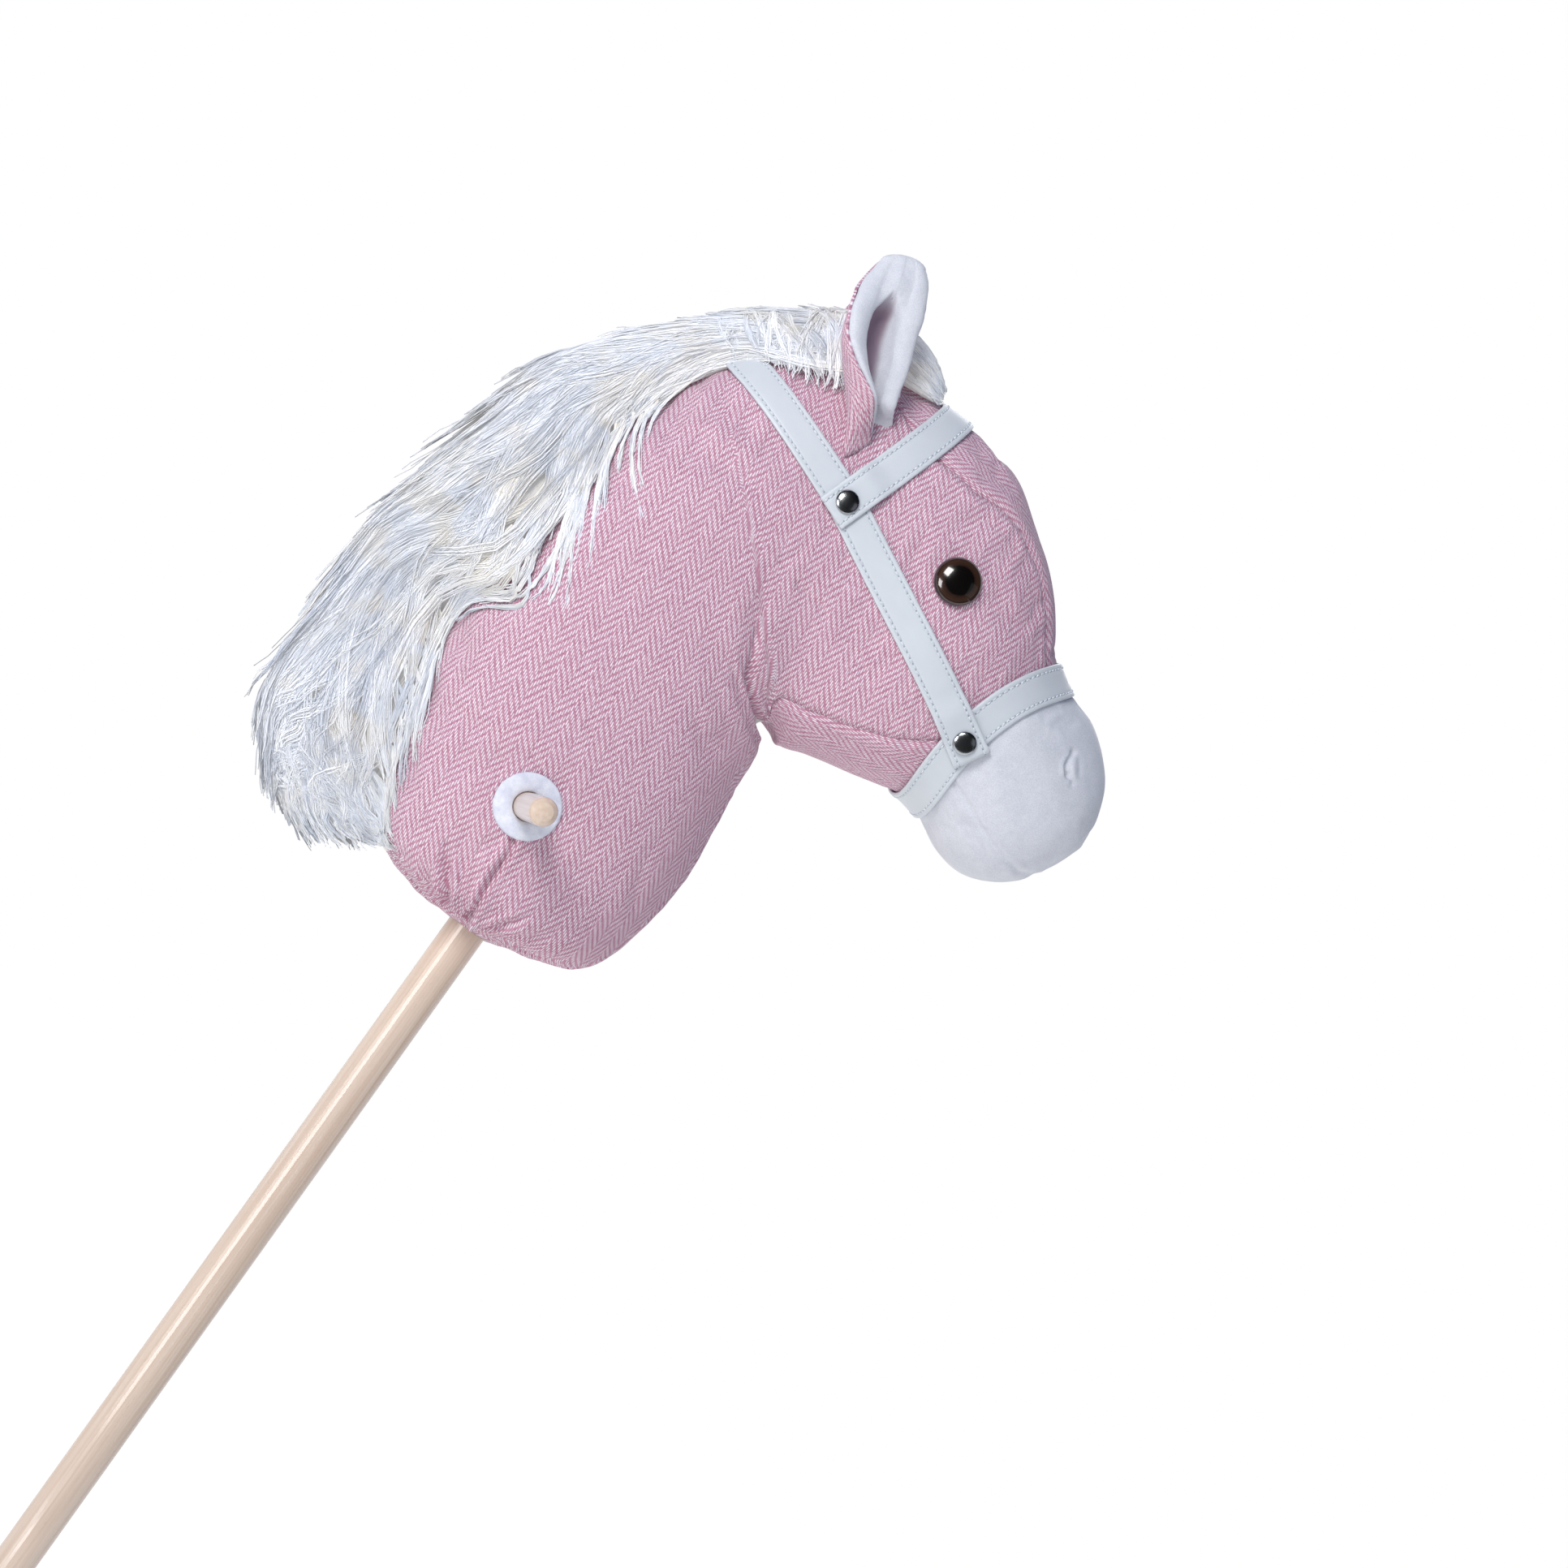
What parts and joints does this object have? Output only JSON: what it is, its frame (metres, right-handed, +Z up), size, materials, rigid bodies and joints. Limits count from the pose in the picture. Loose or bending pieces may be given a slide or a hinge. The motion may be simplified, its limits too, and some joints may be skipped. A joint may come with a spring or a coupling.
{
  "type": "hobby horse",
  "caption": "Stuffed cloth horse head with yarn mane, bridle and folding ears on a round wooden stick with a cross handle, ridden with the stick between the legs.",
  "frame": {"origin": "centre of the flat foot of the stick", "axes": "+Z up the stick's axis, +X the way the horse looks, +Y to the horse's left, so the XZ plane is the plane of symmetry"},
  "size_m": [0.4139, 0.26, 1.0159],
  "materials": {
    "birch": "satin",
    "zinc_plated_steel": "satin",
    "pink_herringbone_cotton": "matte",
    "white_velour": "matte",
    "polyester_fibre": "matte",
    "clear_nylon": "satin",
    "white_felt": "matte",
    "brown_black_eye_plastic": "gloss",
    "white_artificial_leather": "satin",
    "polished_steel": "polished",
    "cream_yarn": "matte"
  },
  "bodies": {
    "horse": {"stick": "birch", "handle": "birch", "handle_screw": "zinc_plated_steel", "side_panel_right": "pink_herringbone_cotton", "side_panel_left": "pink_herringbone_cotton", "forehead_strip": "pink_herringbone_cotton", "jaw_strip": "pink_herringbone_cotton", "muzzle_cover": "white_velour", "nostril_right": "white_velour", "nostril_left": "white_velour", "neck_stuffing": "polyester_fibre", "head_stuffing": "polyester_fibre", "muzzle_stuffing": "polyester_fibre", "neck_tie": "clear_nylon", "felt_washer_right": "white_felt", "felt_washer_left": "white_felt", "eye_right": "brown_black_eye_plastic", "eye_left": "brown_black_eye_plastic", "eye_lock_right": "clear_nylon", "eye_lock_left": "clear_nylon", "headpiece": "white_artificial_leather", "browband": "white_artificial_leather", "noseband": "white_artificial_leather", "rivet_upper_right": "polished_steel", "rivet_upper_left": "polished_steel", "rivet_lower_right": "polished_steel", "rivet_lower_left": "polished_steel", "rivet_back_upper_right": "polished_steel", "rivet_back_upper_left": "polished_steel", "rivet_back_lower_right": "polished_steel", "rivet_back_lower_left": "polished_steel", "mane_tape": "cream_yarn", "mane": "cream_yarn", "forelock": "cream_yarn"},
    "right_ear": {"ear_right": "pink_herringbone_cotton", "ear_lining_right": "white_velour"},
    "left_ear": {"ear_left": "pink_herringbone_cotton", "ear_lining_left": "white_velour"}
  },
  "joints": [
    {"name": "right_ear_fold", "type": "hinge", "parent": "horse", "child": "right_ear", "pos_m": [0.01849, -0.04632, 0.91965], "axis": [0.9206, 0.0383, 0.3886], "range_deg": [-5, 60], "stiffness_Nm_per_rad": 0.06},
    {"name": "left_ear_fold", "type": "hinge", "parent": "horse", "child": "left_ear", "pos_m": [0.01849, 0.04632, 0.91965], "axis": [-0.9206, 0.0383, -0.3886], "range_deg": [-5, 60], "stiffness_Nm_per_rad": 0.06}
  ]
}
